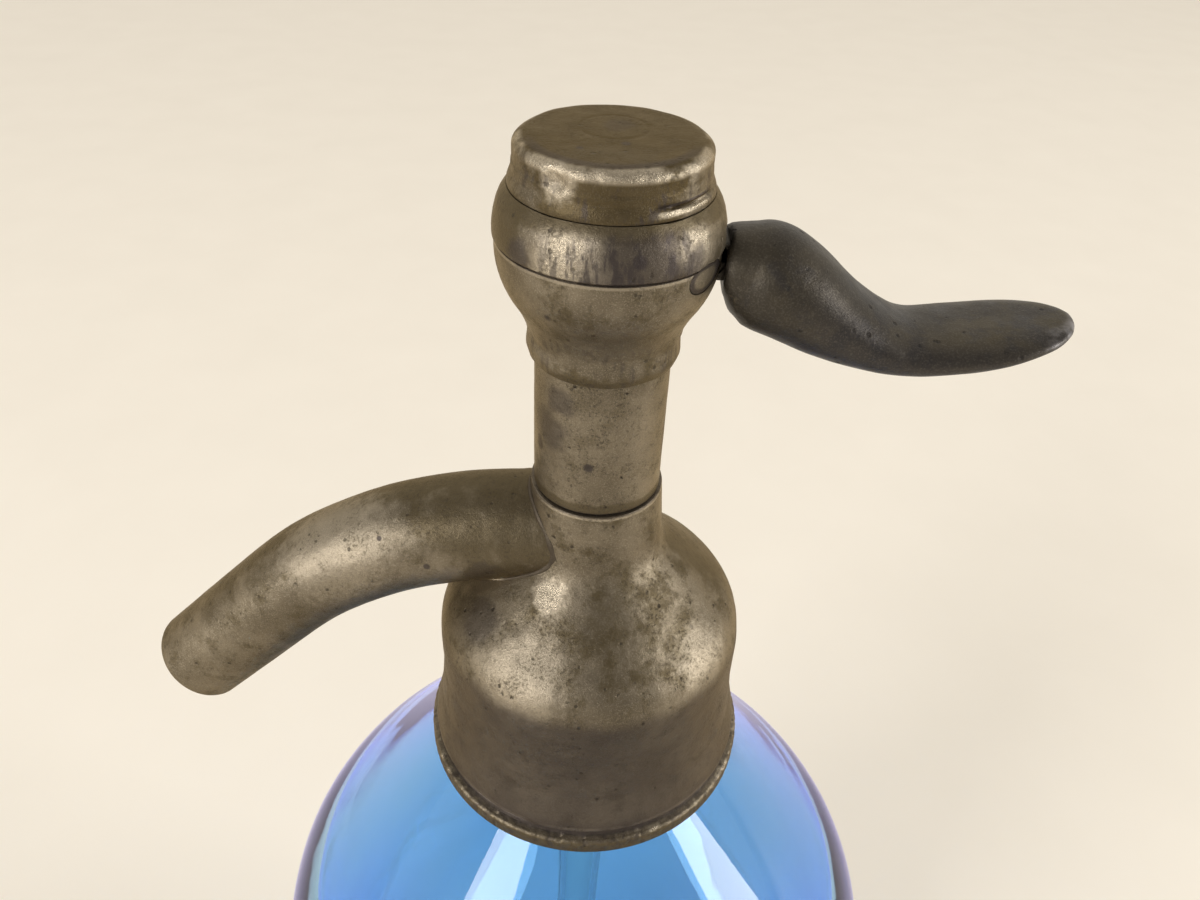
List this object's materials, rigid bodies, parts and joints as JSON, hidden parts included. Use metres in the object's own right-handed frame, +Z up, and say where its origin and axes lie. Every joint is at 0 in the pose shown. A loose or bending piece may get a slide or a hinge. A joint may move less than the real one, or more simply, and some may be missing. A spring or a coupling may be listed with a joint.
{
  "type": "soda siphon",
  "caption": "Glass soda siphon with a cast metal head, a curved spout and a thumb lever that lifts a spring-loaded valve.",
  "frame": {"origin": "centre of the plane the bottle's base rests on", "axes": "+Z up along the bottle's axis, +X towards the lever, -X towards the spout"},
  "size_m": [0.1154, 0.105, 0.32],
  "materials": {
    "blue_glass": "clear, tinted blue",
    "clear_glass": "clear",
    "old_pewter": "satin, worn and stained",
    "dark_lever": "smooth, darkened",
    "brass": "turned",
    "spring_steel": "drawn wire",
    "black_rubber": "matt",
    "packing": "greased"
  },
  "bodies": {
    "siphon": {"bottle": "blue_glass", "dip_tube": "clear_glass", "neck_gasket": "black_rubber", "tube_washer": "black_rubber", "split_collar_front": "brass", "split_collar_back": "brass", "neck_ring": "old_pewter", "head_body": "old_pewter", "spout": "old_pewter", "valve_seat": "brass", "column": "old_pewter", "packing_ring_lower": "packing", "packing_ring_upper": "packing", "packing_washer": "brass", "gland_nut": "brass", "spring": "spring_steel", "lever_housing": "old_pewter", "top_cap": "old_pewter", "pivot_pin": "spring_steel"},
    "lever": {"lever": "dark_lever"},
    "stem": {"valve_stem": "brass", "washer_cup": "brass", "valve_washer": "black_rubber", "washer_nut": "brass", "stem_yoke": "brass", "stem_lock_nut": "brass"}
  },
  "joints": [
    {"name": "lever_hinge", "type": "hinge", "parent": "siphon", "child": "lever", "pos_m": [0.0099, 0, 0.3083], "axis": [0, 1, 0], "range_deg": [0, 14], "stiffness_Nm_per_rad": 0.92, "springref_deg": -15.87},
    {"name": "valve_lift", "type": "slide", "parent": "siphon", "child": "stem", "axis": [0, 0, 1], "range_m": [0, 0.0025], "deforming": ["spring"]}
  ],
  "couplings": [
    {"joint": "valve_lift", "follows": "lever_hinge", "m_per_rad": 0.0101}
  ]
}
